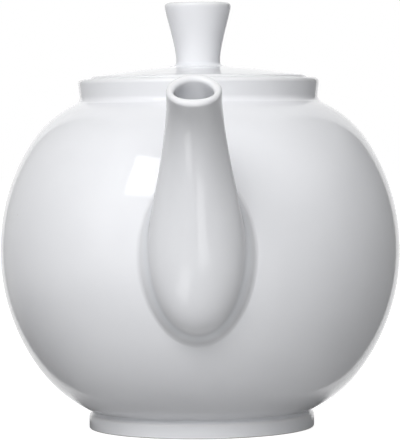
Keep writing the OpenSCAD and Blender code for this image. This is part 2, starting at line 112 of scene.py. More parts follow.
# Values that follow from the sizes
FOOT_IN_R = FOOT_R - FOOT_W
FLOOR_R = FOOT_IN_R - FLOOR_INSET
BASE_MID = from_axis(BELLY_R - BASE_R, BASE_TURN) * (1, -1)
SHOULDER_MID = from_axis(BELLY_R - SHOULDER_R, SHOULDER_TURN)
FLOOR_TURN = math.degrees(math.asin((FLOOR_R - BASE_MID[0]) / BASE_R))
BELLY_Z = FOOT_RECESS - BASE_MID[1] + BASE_R * math.cos(math.radians(FLOOR_TURN))
BASE_AT = np.array([BASE_MID[0], BELLY_Z + BASE_MID[1]])
SHOULDER_AT = np.array([SHOULDER_MID[0], BELLY_Z + SHOULDER_MID[1]])
COLLAR_LOW_R = COLLAR_R - COLLAR_FLARE
JOINT_R = COLLAR_LOW_R - COLLAR_HEEL
JOINT_TURN = math.degrees(math.asin((JOINT_R - SHOULDER_MID[0]) / SHOULDER_R))
JOINT_Z = SHOULDER_AT[1] + SHOULDER_R * math.cos(math.radians(JOINT_TURN))
RIM_Z = JOINT_Z + COLLAR_H
SEAT_R, SEAT_Z = LID_R + LID_GAP, RIM_Z - SEAT_DEPTH
LID_EDGE_Z = RIM_Z + LID_STAND
CROWN_Z = LID_EDGE_Z + LID_RISE
FLANGE_R = NECK_R - FLANGE_GAP
FLANGE_IN_R, FLANGE_Z = FLANGE_R - FLANGE_WALL, SEAT_Z - FLANGE_DEPTH
LUG_R, LUG_Z = FLANGE_R + LUG_REACH, FLANGE_Z + LUG_RISE
NOTCH_R, NOTCH_ARC = LUG_R + LUG_GAP, LUG_ARC + 2 * LUG_PLAY
KNOB_TOP_Z = CROWN_Z + KNOB_H
HALF_WIDTHS = (ROOT_HALF, BULGE_HALF, THROAT_HALF, MOUTH_R)


def belly_point(angle):
    return np.array([0, BELLY_Z]) + polar(BELLY_R, angle)


def bezier(p, t):
    t = np.asarray(t, float)
    p = np.asarray(p, float)
    if p.ndim == 2:
        t = t[..., None]
    return (1 - t) ** 3 * p[0] + 3 * (1 - t) ** 2 * t * p[1] + 3 * (1 - t) * t * t * p[2] + t**3 * p[3]


def bezier_slope(p, t):
    """A third of the slope of a curve, which is enough for its direction."""
    t = np.asarray(t, float)[..., None]
    p = np.asarray(p, float)
    return (1 - t) ** 2 * (p[1] - p[0]) + 2 * (1 - t) * t * (p[2] - p[1]) + t * t * (p[3] - p[2])


# Profiles for turned pieces. A corner is (radius, height, rounding); rounding None marks a point of a
# smooth curve. Each profile point keeps its normals before and after it, and how the glaze lies on it,
# and a path may hold such points too.
def rounded(path, step=9.0):
    out = []
    spots = [np.array(q[0] if len(q) == 4 else q[:2], float) for q in path]
    for i, here in enumerate(path):
        if len(here) == 4:
            out.append(here)
            continue
        p = spots[i]
        back, on = spots[i - 1] - p, spots[(i + 1) % len(path)] - p
        before, after = -back / np.linalg.norm(back), on / np.linalg.norm(on)
        turn = math.atan2(before[0] * after[1] - before[1] * after[0], before @ after)
        n_in, n_out = np.array([before[1], -before[0]]), np.array([after[1], -after[0]])
        if here[2] is None:
            smooth = unit(n_in * np.linalg.norm(on) + n_out * np.linalg.norm(back))
            out.append((p, smooth, smooth, 0.0))
        elif here[2] <= 0 or abs(turn) < STRAIGHT:
            out.append((p, n_in, n_out, 0.0))
        else:
            out += corner(p, before, turn, here[2], step)
    return out


def corner(p, before, turn, r, step):
    """The arc that rounds a corner, from the direction before it and its turn in radians."""
    n_in = np.array([before[1], -before[0]])
    side = math.copysign(1, turn)
    middle = p - before * r * math.tan(abs(turn) / 2) - n_in * r * side
    steps = max(3, math.ceil(abs(math.degrees(turn)) / step))
    out = []
    for k in range(steps + 1):
        c, s = math.cos(turn * k / steps), math.sin(turn * k / steps)
        n = np.array([n_in[0] * c - n_in[1] * s, n_in[0] * s + n_in[1] * c])
        out.append((middle + n * r * side, n, n, side * math.sin(math.pi * k / steps)))
    return out


def arc(middle, r, start, stop, step=1.6):
    """Points of a circle between two angles from the axis, kept as a smooth curve with true normals."""
    steps = max(2, math.ceil(abs(stop - start) / step))
    way = 1 if stop < start else -1
    out = []
    for k in range(steps + 1):
        d = from_axis(1, mix(start, stop, k / steps))
        out.append((np.array(middle) + r * d, way * d, way * d, 0.0))
    return out


def bend(middle, r, start, stop, side, glaze=0.0, steps=14):
    """A round stretch between two angles of its normal: side 1 bulges out, side -1 is a hollow."""
    out = []
    for k in range(steps + 1):
        n = polar(1, mix(start, stop, k / steps))
        out.append((np.array(middle) + side * r * n, n, n, side * glaze * math.sin(math.pi * k / steps)))
    return out


def sharp(r, z, before, after):
    """A profile point whose normals are given."""
    return np.array([r, z]), np.array(before), np.array(after), 0.0


def make_mesh(name, verts, faces):
    mesh = bpy.data.meshes.new(name)
    mesh.from_pydata([tuple(v) for v in verts], [], faces)
    mesh.polygons.foreach_set("use_smooth", [True] * len(mesh.polygons))
    obj = bpy.data.objects.new(name, mesh)
    scene.collection.objects.link(obj)
    return obj


def turned(name, profile, segments=256):
    """A closed profile turned about the axis."""
    verts, faces, rings = [], [], []
    angles = np.arange(segments) * 2 * math.pi / segments
    for p, _, _, _ in profile:
        if p[0] < TINY:
            rings.append([len(verts)] * segments)
            verts.append((0, 0, p[1] * MM))
        else:
            rings.append(range(len(verts), len(verts) + segments))
            verts += [(p[0] * math.cos(a) * MM, p[0] * math.sin(a) * MM, p[1] * MM) for a in angles]
    for i in range(len(profile)):
        a, b = rings[i], rings[(i + 1) % len(profile)]
        for k in range(segments):
            j = (k + 1) % segments
            quad = [a[k], a[j], b[j], b[k]]
            face = [v for q, v in enumerate(quad) if v not in quad[:q]]
            if len(face) > 2:
                faces.append(face)
    return make_mesh(name, verts, faces)


def cut(obj, tools):
    """Takes tool meshes out of a piece and deletes them."""
    for tool in tools:
        m = obj.modifiers.new("cut", "BOOLEAN")
        m.operation, m.solver, m.object = "DIFFERENCE", "EXACT", tool
    dg = bpy.context.evaluated_depsgraph_get()
    mesh = bpy.data.meshes.new_from_object(obj.evaluated_get(dg))
    obj.modifiers.clear()
    old, obj.data = obj.data, mesh
    bpy.data.meshes.remove(old)
    for tool in tools:
        data = tool.data
        bpy.data.objects.remove(tool)
        bpy.data.meshes.remove(data)


def drill(middle, way, r, length, sides=40):
    """A rod to cut a hole with, centred on a point."""
    way = Vector(way).normalized()
    turn = way.to_track_quat("Z", "Y").to_matrix()
    verts = []
    for end in (-1, 1):
        for k in range(sides):
            a = 2 * math.pi * k / sides
            v = turn @ Vector((r * math.cos(a), r * math.sin(a), end * length / 2)) + Vector(middle)
            verts.append(v * MM)
    faces = [[k, (k + 1) % sides, sides + (k + 1) % sides, sides + k] for k in range(sides)]
    faces += [list(range(sides))[::-1], list(range(sides, 2 * sides))]
    return make_mesh("drill", verts, faces)


def wedge(r0, r1, z0, z1, arc_deg, middle_deg=-90.0, steps=12):
    """A sector of a ring to cut a notch with."""
    verts, faces = [], []
    for k in range(steps + 1):
        a = math.radians(middle_deg + arc_deg * (k / steps - 0.5))
        for r, z in ((r0, z0), (r1, z0), (r1, z1), (r0, z1)):
            verts.append((r * math.cos(a) * MM, r * math.sin(a) * MM, z * MM))
    for k in range(steps):
        for q in range(4):
            a, b = 4 * k + q, 4 * k + (q + 1) % 4
            faces.append([a, a + 4, b + 4, b])
    faces += [[0, 1, 2, 3], [4 * steps + q for q in (3, 2, 1, 0)]]
    return make_mesh("wedge", verts, faces)


def read(items, key, width=1, kind=float):
    """One value of each vertex, face or face corner of a mesh, as an array."""
    values = np.empty(len(items) * width, kind)
    items.foreach_get(key, values)
    return values.reshape(-1, width) if width > 1 else values


def face_corners(mesh):
    """The vertex at each face corner, with the normal and the centre of its face."""
    total = read(mesh.polygons, "loop_total", kind=int)
    normal = np.repeat(read(mesh.polygons, "normal", 3), total, axis=0)
    centre = np.repeat(read(mesh.polygons, "center", 3), total, axis=0)
    return read(mesh.loops, "vertex_index", kind=int), normal, centre


def mark_glaze(mesh, values):
    """Thin glaze on edges is above 0.5, pooled glaze in hollows is below it."""
    layer = mesh.attributes.new("glaze", "FLOAT", "POINT")
    layer.data.foreach_set("value", np.clip(0.5 + 0.5 * np.asarray(values, float), 0, 1).astype(np.float32))


def finish_turned(obj, profile, reach=0.02, agree=0.8):
    """Gives a turned piece its exact normals, and marks rounded edges and hollows for the glaze.

    A face corner takes the normal of a profile stretch within reach, if it agrees with the face's own.
    """
    mesh = obj.data
    a = np.array([q[0] for q in profile])
    ab = np.roll(a, -1, 0) - a
    n0 = np.array([q[2] for q in profile])
    n1 = np.roll(np.array([q[1] for q in profile]), -1, 0)
    g0 = np.array([q[3] for q in profile])
    g1 = np.roll(g0, -1)
    co = read(mesh.vertices, "co", 3) / MM
    rad = np.linalg.norm(co[:, :2], axis=1)
    off = np.stack([rad, co[:, 2]], 1)[:, None] - a
    t = np.clip((off * ab).sum(2) / np.maximum((ab * ab).sum(1), TINY**2), 0, 1)
    gap = np.linalg.norm(off - t[..., None] * ab, axis=2)
    loops, face_n, face_at = face_corners(mesh)
    way = np.where(rad[loops, None] > ON_AXIS, co[loops, :2], face_at[:, :2] / MM)
    way = unit(np.where(np.linalg.norm(way, axis=1, keepdims=True) > TINY, way, (1.0, 0.0)))
    out = face_n.copy()
    best = np.full(len(loops), agree)
    for i in range(len(profile)):
        near = gap[loops, i] < reach
        if not near.any():
            continue
        s = t[loops, i][:, None]
        m = unit(n0[i] * (1 - s) + n1[i] * s)
        n3 = np.concatenate([way * m[:, :1], m[:, 1:]], 1)
        score = (n3 * face_n).sum(1)
        take = near & (score > best)
        out[take], best[take] = n3[take], score[take]
    mesh.normals_split_custom_set([tuple(v) for v in out])
    nearest = gap.argmin(1)
    mark_glaze(mesh, mix(g0[nearest], g1[nearest], t[np.arange(len(co)), nearest]))


# Where things meet the bowl's outside
def facing_arc(p):
    """Radius and height of the middle, and the radius, of the bowl's arc that faces each point."""
    rad = np.linalg.norm(p[..., :2], axis=-1)
    angle = np.degrees(np.arctan2(rad, p[..., 2] - BELLY_Z))
    out = np.zeros(p.shape[:-1] + (3,))
    out[...] = (0, BELLY_Z, BELLY_R)
    out[angle < SHOULDER_TURN] = (*SHOULDER_AT, SHOULDER_R)
    out[angle > 180 - BASE_TURN] = (*BASE_AT, BASE_R)
    return out


def off_arc(p, a):
    return np.stack([np.linalg.norm(p[..., :2], axis=-1) - a[..., 0], p[..., 2] - a[..., 1]], -1)


def lift(p):
    """Height of points over the bowl."""
    a = facing_arc(p)
    return np.linalg.norm(off_arc(p, a), axis=-1) - a[..., 2]


def set_lift(p, height):
    """Points moved straight off the bowl or towards it, to a height over it."""
    a = facing_arc(p)
    on = unit(off_arc(p, a)) * (a[..., 2] + height)[..., None]
    flat = unit(p[..., :2]) * (a[..., 0] + on[..., 0])[..., None]
    return np.concatenate([flat, (a[..., 1] + on[..., 1])[..., None]], -1)


def bowl_normal(p):
    zero = np.zeros(p.shape[:-1])
    return unit(set_lift(p, zero + 1) - set_lift(p, zero))


def spread(p, middle, reach, height):
    """Points pushed along the bowl, away from a piece's middle, at a height over the bowl."""
    n = bowl_normal(p)
    away = p - middle
    along = unit(away - n * (away * n).sum(-1, keepdims=True))
    return set_lift(p + along * reach, np.zeros(p.shape[:-1]) + height)


def crossing(point, height, low, high, halvings=40):
    """The place along a piece, for each angle round it, where its face has a height over the bowl."""
    low, high = np.array(low, float), np.array(high, float)
    for _ in range(halvings):
        t = (low + high) / 2
        inside = lift(point(t)) < height
        low, high = np.where(inside, t, low), np.where(inside, high, t)
    return (low + high) / 2


def fillet_levels(r, steps, sunk=0.05):
    """Height over the bowl, and push along it, from the crease on the bowl up to the free wall."""
    a = np.linspace(math.pi / 2 * FILLET_TRIM, math.pi / 2, steps + 1)
    rise, push = r * (1 - np.cos(a)), r * (1 - np.sin(a))
    crease = push[0] + (rise[0] + sunk) / math.tan(a[0])
    return np.concatenate([[-sunk], rise]), np.concatenate([[crease], push])


def lofted(name, rings, closed, glaze, agree=0.5):
    """A piece made of rings of points, closed on itself or by a cap at each end, with its own normals."""
    count, sides = rings.shape[:2]
    faces = []
    for i in range(count if closed else count - 1):
        a, b = i * sides, ((i + 1) % count) * sides
        for k in range(sides):
            j = (k + 1) % sides
            faces.append([a + k, a + j, b + j, b + k])
    if not closed:
        faces.append(list(range(sides))[::-1])
        faces.append([(count - 1) * sides + k for k in range(sides)])
    obj = make_mesh(name, rings.reshape(-1, 3) * MM, faces)
    loops, face_n, _ = face_corners(obj.data)
    want = grid_normals(rings, closed).reshape(-1, 3)[loops]
    good = (want * face_n).sum(1, keepdims=True) > agree
    obj.data.normals_split_custom_set([tuple(v) for v in np.where(good, want, face_n)])
    mark_glaze(obj.data, glaze.reshape(-1))
    return obj


def grid_normals(rings, closed):
    """Normals of a ring grid by differences along and round it."""
    around = np.roll(rings, -1, 1) - np.roll(rings, 1, 1)
    if closed:
        along = unit(np.roll(rings, -1, 0) - rings) + unit(rings - np.roll(rings, 1, 0))
    else:
        step = unit(rings[1:] - rings[:-1])
        along = np.concatenate([step[:1], step[1:] + step[:-1], step[-1:]])
    return unit(np.cross(around, along))


# Spout
MOUTH_MID = np.array([BELLY_R + SPOUT_REACH, RIM_Z - SPOUT_DROP])
MOUTH_HALF = polar(MOUTH_R, MOUTH_TILT + 90)
UNDER_START, OVER_START = belly_point(UNDER_ANGLE), belly_point(OVER_ANGLE)
UNDER_END, OVER_END = MOUTH_MID - MOUTH_HALF, MOUTH_MID + MOUTH_HALF
UNDER = [
    UNDER_START,
    UNDER_START + polar(UNDER_RUN, UNDER_AIM),
    UNDER_END - polar(UNDER_LIP_RUN, UNDER_LIP_AIM),
    UNDER_END,
]
OVER = [
    OVER_START,
    OVER_START + polar(OVER_RUN, OVER_AIM),
    OVER_END - polar(OVER_LIP_RUN, OVER_LIP_AIM),
    OVER_END,
]


def spout_middle(t):
    m = (bezier(UNDER, t) + bezier(OVER, t)) / 2
    return np.stack([np.zeros_like(m[..., 0]), -m[..., 0], m[..., 1]], -1)


def spout_point(t, angle, inside):
    """A point of the spout's outer face, or with inside 1 of its bore."""
    half = (bezier(OVER, t) - bezier(UNDER, t)) / 2
    middle = (bezier(OVER, t) + bezier(UNDER, t)) / 2
    front = half - unit(half) * (inside * mix(SPOUT_WALL, LIP_FRONT, t))[..., None]
    side = bezier(HALF_WIDTHS, t) - inside * mix(SPOUT_WALL, LIP_WALL, t)
    egg = inside * MOUTH_EGG * np.clip((t - EGG_FROM) / (1 - EGG_FROM), 0, 1) ** 2
    line = middle + front * (np.cos(angle) - egg * np.sin(angle) ** 2)[..., None]
    back = SPOUT_SWEEP * 4 * t * (1 - t) * np.sin(angle) ** 2
    return np.stack([side * np.sin(angle), back - line[..., 0], line[..., 1]], -1)


def ring_levels(step=0.22):
    """Height and push pairs up the soft ring round the spout's root, from its tilt along the way."""
    runs = np.cumsum([0.0, *RING_RUNS])
    along = np.arange(0, runs[-1] + step / 2, step)
    tilt = np.radians(np.interp(along, runs, RING_TILTS))
    middle = (tilt[1:] + tilt[:-1]) / 2
    rise = np.concatenate([[0], np.cumsum(np.sin(middle) * step)]) - ROOT_SUNK
    push = np.concatenate([[0], np.cumsum(np.cos(middle) * step)])
    return zip(rise, push[-1] - push)


def make_spout(sides=112, along=56, lip_steps=16, bore_steps=34, hidden_rings=(0.33, 0.66)):
    angle = -np.arange(sides) * 2 * math.pi / sides
    ones = np.ones(sides)
    rings, glaze = [], []
    for h, d in ring_levels():
        t = crossing(lambda u: spout_point(u, angle, 0), h, ROOT_START * ones, ones)
        rings.append(spread(spout_point(t, angle, 0), spout_middle(t), d, h))
        glaze.append(-math.exp(-((d - RING_POOL) ** 2)) * ones)
    start = t
    for i in range(1, along):
        rings.append(spout_point(mix(start, ones, i / along), angle, 0))
        glaze.append(0 * ones)
    out = polar(1.0, MOUTH_TILT)
    reach = mix(LIP_WALL, LIP_FRONT, np.cos(angle) ** 2)[:, None] / 2
    for i in range(lip_steps + 1):
        a = math.pi * i / lip_steps
        lip = spout_point(ones, angle, (1 - math.cos(a)) / 2)
        rings.append(lip + np.array([0, -out[0], out[1]]) * reach * math.sin(a))
        glaze.append(math.sin(a) * ones)
    end = crossing(lambda u: spout_point(u, angle, 1), BORE_LIFT, 0 * ones, ones)
    for i in range(1, bore_steps + 1):
        rings.append(spout_point(mix(ones, end, i / bore_steps), angle, 1))
        glaze.append(0 * ones)
    bore_end = rings[-1]
    for share in hidden_rings:
        rings.append(set_lift(mix(bore_end, rings[0], share), ROOT_SUNK * ones))
        glaze.append(0 * ones)
    return lofted("spout_glazed", np.array(rings), True, np.array(glaze))


# Handle
HANDLE_START = belly_point(HANDLE_HIGH) - polar(HANDLE_T[0], HANDLE_HIGH)
HANDLE_END = belly_point(HANDLE_LOW) - polar(HANDLE_T[1], HANDLE_LOW)
HANDLE = [
    HANDLE_START,
    HANDLE_START + polar(HANDLE_HIGH_RUN, HANDLE_HIGH_AIM),
    HANDLE_END + polar(HANDLE_LOW_RUN, HANDLE_LOW_AIM),
    HANDLE_END,
]


def handle_middle(t):
    m = bezier(HANDLE, t)
    return np.stack([np.zeros_like(m[..., 0]), m[..., 0], m[..., 1]], -1)


def handle_point(t, angle):
    way = unit(bezier_slope(HANDLE, t))
    across = np.stack([-way[..., 1], way[..., 0]], -1)
    thick = mix(HANDLE_T[0], HANDLE_T[1], t)[..., None] / 2
    side = bezier(HANDLE, t) + across * thick * np.cos(angle)[..., None]
    x = mix(HANDLE_W[0], HANDLE_W[1], t) / 2 * np.sin(angle)
    return np.stack([x, side[..., 0], side[..., 1]], -1)


def make_handle(sides=72, along=84, fillet_steps=12):
    angle = np.arange(sides) * 2 * math.pi / sides
    ones = np.ones(sides)
    rise, push = fillet_levels(HANDLE_FILLET, fillet_steps)
    ends = []
    for end in (0, 1):
        group = []
        for h, d in zip(rise, push):
            t = crossing(lambda u: handle_point(np.abs(end - u), angle), h, 0 * ones, ones / 2)
            t = np.abs(end - t)
            group.append(spread(handle_point(t, angle), handle_middle(t), d, h))
        ends.append((group, t))
    rings = list(ends[0][0])
    for i in range(1, along):
        rings.append(handle_point(mix(ends[0][1], ends[1][1], i / along), angle))
    rings = np.array(rings + ends[1][0][::-1])
    glaze = np.zeros(rings.shape[:2])
    for k, h in enumerate(rise):
        glaze[k] = glaze[-1 - k] = -math.sin(math.pi * min(1, h / HANDLE_FILLET * HANDLE_POOL))
    return lofted("handle_glazed", rings, False, glaze)


# Turned pieces
def bowl_profile():
    """The outside from the floor's middle up to the neck, then the inside back down to its floor."""
    down, up, inward = (0.0, -1.0), (0.0, 1.0), (-1.0, 0.0)
    in_r, neck_off = SHOULDER_R - WALL, NECK_R - SHOULDER_AT[0]
    neck_turn = math.degrees(math.asin(neck_off / in_r))
    floor_in = FOOT_RECESS + WALL
    floor_turn = math.degrees(math.acos((BASE_AT[1] - floor_in) / (BASE_R - WALL)))
    points = [sharp(0, FOOT_RECESS, down, down)]
    points += arc(BASE_AT, BASE_R, 180 - FLOOR_TURN, 180 - BASE_TURN)
    points += arc((0, BELLY_Z), BELLY_R, 180 - BASE_TURN, SHOULDER_TURN)[1:]
    points += arc(SHOULDER_AT, SHOULDER_R, SHOULDER_TURN, JOINT_TURN)[1:]
    points += [
        sharp(JOINT_R, JOINT_Z, up, up),
        sharp(NECK_R, JOINT_Z, up, inward),
        sharp(NECK_R, SHOULDER_AT[1] + math.sqrt(in_r**2 - neck_off**2), inward, inward),
    ]
    points += arc(SHOULDER_AT, in_r, neck_turn, SHOULDER_TURN)
    points += arc((0, BELLY_Z), BELLY_R - WALL, SHOULDER_TURN, 180 - BASE_TURN)[1:]
    points += arc(BASE_AT, BASE_R - WALL, 180 - BASE_TURN, 180 - floor_turn)[1:]
    points.append(sharp(0, floor_in, up, up))
    # where two stretches meet, one point keeps the normal before it and the normal after it
    profile = [points[0]]
    for q in points[1:]:
        last = profile[-1]
        if np.linalg.norm(q[0] - last[0]) > TINY:
            profile.append(q)
        else:
            profile[-1] = (last[0], last[1], q[2], last[3])
    return profile


def make_bowl():
    profile = bowl_profile()
    obj = turned("bowl_glazed", profile)
    pitch = ROOT_HALF - SPOUT_WALL - STRAINER_LAND - STRAINER_R
    row_pitch = pitch * math.sin(math.radians(PACKING_ANGLE))
    middle_z = belly_point((UNDER_ANGLE + OVER_ANGLE) / 2)[1]
    tools = []
    for row in range(STRAINER_ROWS):
        columns = STRAINER_COLUMNS - row % 2
        z = middle_z + (row - (STRAINER_ROWS - 1) / 2) * row_pitch
        for column in range(columns):
            x = (column - (columns - 1) / 2) * pitch
            tools.append(drill((x, -BELLY_R + WALL, z), (0, 1, 0), STRAINER_R, 4 * WALL))
    tools.append(wedge(FLANGE_IN_R, NOTCH_R, FLANGE_Z, RIM_Z, NOTCH_ARC))
    cut(obj, tools)
    finish_turned(obj, profile)
    return obj


def base_z(r):
    return BASE_AT[1] - math.sqrt(BASE_R**2 - (r - BASE_AT[0]) ** 2)


def make_foot():
    # over the rounded edge the glaze fills the angle to a small cove, tangent to the belly
    arm = polar(FOOT_EDGE_ROUND + FOOT_COVE, FOOT_EDGE_TURN)
    cove_r = FOOT_R - FOOT_EDGE_ROUND + arm[0]
    cove_drop = math.sqrt((BASE_R + FOOT_COVE - SUNK) ** 2 - (cove_r - BASE_AT[0]) ** 2)
    cove = np.array([cove_r, BASE_AT[1] - cove_drop])
    belly_turn = math.degrees(math.atan2(cove[1] - BASE_AT[1], cove[0] - BASE_AT[0]))
    top_r = mix(FOOT_R, FOOT_IN_R, FOOT_TOP_AT)
    path = [(FOOT_IN_R, 0, TREAD_ROUND), (FOOT_R, 0, TREAD_EDGE)]
    path += bend(cove - arm, FOOT_EDGE_ROUND, 0, FOOT_EDGE_TURN, side=1, glaze=1.0)
    path += bend(cove, FOOT_COVE, FOOT_EDGE_TURN, belly_turn, side=-1, glaze=1.0)[1:]
    path += [(top_r, base_z(top_r) + FOOT_LAP_OUT, 0), (FOOT_IN_R, base_z(FOOT_IN_R) + FOOT_LAP_IN, 0)]
    profile = rounded(path)
    obj = turned("foot_ring_glazed", profile)
    finish_turned(obj, profile)
    return obj


def make_collar():
    # glaze fills the angle at the collar's foot to a soft cove, tangent to the face and to the shoulder
    lean = math.degrees(math.atan(COLLAR_FLARE / COLLAR_H))
    up, out = from_axis(1, lean), polar(1, -lean)
    start = np.array([COLLAR_LOW_R, JOINT_Z]) + out * COLLAR_COVE - SHOULDER_AT
    reach = SHOULDER_R + COLLAR_COVE - SUNK
    rise = math.sqrt((start @ up) ** 2 - start @ start + reach**2) - start @ up
    middle = SHOULDER_AT + start + up * rise
    low = math.degrees(math.atan2(*(middle - SHOULDER_AT)[::-1]))
    foot = middle - polar(COLLAR_COVE, low)
    path = [
        (NECK_R, JOINT_Z, 0),
        (JOINT_R - COLLAR_LAP_IN, JOINT_Z, 0),
        (foot[0] + COLLAR_LAP_OUT, foot[1] - COLLAR_LAP_DOWN, 0),
    ]
    path += bend(middle, COLLAR_COVE, low, -lean, side=-1)
    path += [
        (COLLAR_R, RIM_Z, RIM_ROUND),
        (SEAT_R, RIM_Z, RIM_ROUND),
        (SEAT_R, SEAT_Z, SEAT_CORNER),
        (NECK_R, SEAT_Z, SEAT_ROUND),
    ]
    profile = rounded(path)
    obj = turned("neck_collar_glazed", profile)
    cut(obj, [wedge(FLANGE_IN_R, NOTCH_R, FLANGE_Z, SEAT_Z + NOTCH_OVER, NOTCH_ARC)])
    finish_turned(obj, profile)
    return obj


def cover_slope(outer, depth, steps=18):
    out = []
    for i in range(1, steps + 1):
        r = mix(outer, CROWN_R, i / steps)
        share = (LID_R - r) / (LID_R - CROWN_R)
        out.append((r, LID_EDGE_Z + LID_RISE * share + 4 * LID_BOW * share * (1 - share) - depth, None))
    return out


def make_cover():
    path = [(LID_R, SEAT_Z, LID_FOOT_ROUND), (LID_R, LID_EDGE_Z, LID_EDGE_ROUND)]
    path += cover_slope(LID_R, 0)
    path += [(0, CROWN_Z, 0), (0, CROWN_Z - LID_WALL, 0)]
    path += cover_slope(FLANGE_IN_R, LID_WALL)[::-1]
    path += [(FLANGE_IN_R, SEAT_Z + LID_HOLLOW_RISE, LID_HOLLOW_ROUND), (FLANGE_IN_R, SEAT_Z, 0)]
    profile = rounded(path)
    obj = turned("lid_cover_glazed", profile)
    cut(obj, [drill((0, VENT_AT, (SEAT_Z + CROWN_Z) / 2), (0, 0, 1), VENT_R, 2 * (CROWN_Z - SEAT_Z))])
    finish_turned(obj, profile)
    return obj


def make_flange():
    path = [
        (FLANGE_IN_R, FLANGE_Z, FLANGE_ROUND),
        (FLANGE_R, FLANGE_Z, FLANGE_ROUND),
        (FLANGE_R, SEAT_Z, 0),
        (FLANGE_IN_R, SEAT_Z, 0),
    ]
    profile = rounded(path)
    obj = turned("lid_flange_glazed", profile)
    finish_turned(obj, profile)
    return obj


def make_lug(steps=24, end_arc=3.0):
    """The nib on the flange, with its ends rounded off."""
    rings, glaze = [], []
    for k in range(steps + 1):
        a = LUG_ARC * (k / steps - 0.5)
        end = min(1.0, (LUG_ARC / 2 - abs(a)) / end_arc)
        full = math.sqrt(max(0.0, 1 - (1 - end) ** 2))
        outer = FLANGE_R + LUG_REACH * (1 - LUG_END_SHARE * (1 - full))
        profile = rounded(
            [
                (FLANGE_R - LUG_LAP, LUG_Z, 0),
                (outer, LUG_Z, LUG_ROUND),
                (outer, LUG_Z + LUG_H, LUG_ROUND),
                (FLANGE_R - LUG_LAP, LUG_Z + LUG_H, 0),
            ]
        )
        c, s = polar(1, a - 90)
        rings.append([(q[0][0] * c, q[0][0] * s, q[0][1]) for q in profile])
        glaze.append([q[3] for q in profile])
    return lofted("lid_lug_glazed", np.array(rings)[:, ::-1], False, np.array(glaze)[:, ::-1])


def make_knob(curve_points=26, segments=160):
    waist = CROWN_Z + KNOB_TREAD + KNOB_FILLET
    edge = KNOB_TOP_Z - KNOB_DOME - KNOB_EDGE_ROUND
    flare = (edge - waist) / 3
    side = [
        (KNOB_NECK_R, waist),
        (KNOB_NECK_R + flare * math.tan(math.radians(KNOB_LEAN_LOW)), waist + flare),
        (KNOB_R - flare * math.tan(math.radians(KNOB_LEAN_HIGH)), edge - flare),
        (KNOB_R, edge),
    ]
    skirt_r = KNOB_NECK_R + KNOB_FILLET + KNOB_SKIRT
    path = [
        (0, CROWN_Z - KNOB_LAP, 0),
        (skirt_r, CROWN_Z - KNOB_LAP, 0),
        (skirt_r, CROWN_Z + KNOB_SKIRT_H, 0),
        (KNOB_NECK_R, CROWN_Z + KNOB_COVE_H, KNOB_FILLET + KNOB_COVE),
    ]
    path += [(p[0], p[1], None) for p in bezier(side, np.linspace(0, 1, curve_points)[2:-1])]
    path += [
        (KNOB_R + KNOB_SWELL, KNOB_TOP_Z - KNOB_DOME, KNOB_EDGE_ROUND),
        (KNOB_R * KNOB_DOME_AT, KNOB_TOP_Z - KNOB_DOME_DROP, None),
        (0, KNOB_TOP_Z, 0),
    ]
    profile = rounded(path, step=7.5)
    obj = turned("lid_knob_glazed", profile, segments)
    finish_turned(obj, profile)
    return obj


# Glaze. A pattern is its scale in waves per metre, then its detail and roughness where they are set, and
# stops are places on a ramp with their colours
BLACK, WHITE = (0, 0, 0), (1, 1, 1)
TONE, TONE_STOPS = (26.0, 3.0), ((0.35, (0.788, 0.796, 0.823)), (0.65, (0.812, 0.820, 0.846)))
TINT_STOPS = ((0.0, (0.955, 0.966, 0.975)), (0.5, WHITE), (1.0, (1.0, 0.994, 0.982)))
GLOSS, GLOSS_STOPS = (140.0, 3.0), ((0.3, (0.055, 0.055, 0.055)), (0.75, (0.095, 0.095, 0.095)))
GLAZE_IOR = 1.52
SPECK_SCALE, SPECK_COLOUR = 62.0, (0.55, 0.52, 0.48)
DOT_STOPS, RARE_STOPS = ((0.012, WHITE), (0.022, BLACK)), ((0.10, (0.5, 0.5, 0.5)), (0.12, BLACK))
# Bumps: a pattern's scale and detail, then strength and depth in metres
PEEL, WAVES = (420.0, 2.0, 0.035, 0.0003), (45.0, 1.0, 0.06, 0.0006)
# The bare tread: how far its edge wanders in metres, and heights as places on a ramp, per metre
WIPE, WIPE_WANDER, WIPE_PER_METRE, WIPE_STOPS = (90.0,), 0.0008, 400.0, ((0.24, WHITE), (0.30, BLACK))
GRAIN, GRAIN_STOPS = (900.0, 4.0, 0.7), ((0.3, (0.60, 0.575, 0.53)), (0.7, (0.70, 0.68, 0.64)))
BISCUIT_ROUGH = (0.75, 0.75, 0.75)


def ramp(tree, source, stops):
    n = tree.nodes.new("ShaderNodeValToRGB")
    while len(n.color_ramp.elements) < len(stops):
        n.color_ramp.elements.new(0.5)
    for e, (at, colour) in zip(n.color_ramp.elements, stops):
        e.position, e.color = at, (*colour, 1)
    tree.links.new(source, n.inputs["Fac"])
    return n.outputs["Color"]


def blend_colour(tree, fac, a, b, kind="MIX"):
    n = tree.nodes.new("ShaderNodeMix")
    n.data_type, n.blend_type = "RGBA", kind
    for socket, value in ((n.inputs["Factor"], fac), (n.inputs["A"], a), (n.inputs["B"], b)):
        if isinstance(value, (tuple, float)):
            socket.default_value = value if isinstance(value, float) else (*value, 1)
        else:
            tree.links.new(value, socket)
    return n.outputs["Result"]


def math_node(tree, kind, *values):
    n = tree.nodes.new("ShaderNodeMath")
    n.operation = kind
    for socket, value in zip(n.inputs, values):
        if isinstance(value, float):
            socket.default_value = value
        else:
            tree.links.new(value, socket)
    return n.outputs["Value"]


def noise(tree, where, scale, detail=2.0, rough=0.5):
    n = tree.nodes.new("ShaderNodeTexNoise")
    n.inputs["Scale"].default_value = scale
    n.inputs["Detail"].default_value = detail
    n.inputs["Roughness"].default_value = rough
    tree.links.new(where, n.inputs["Vector"])
    return n.outputs["Fac"]


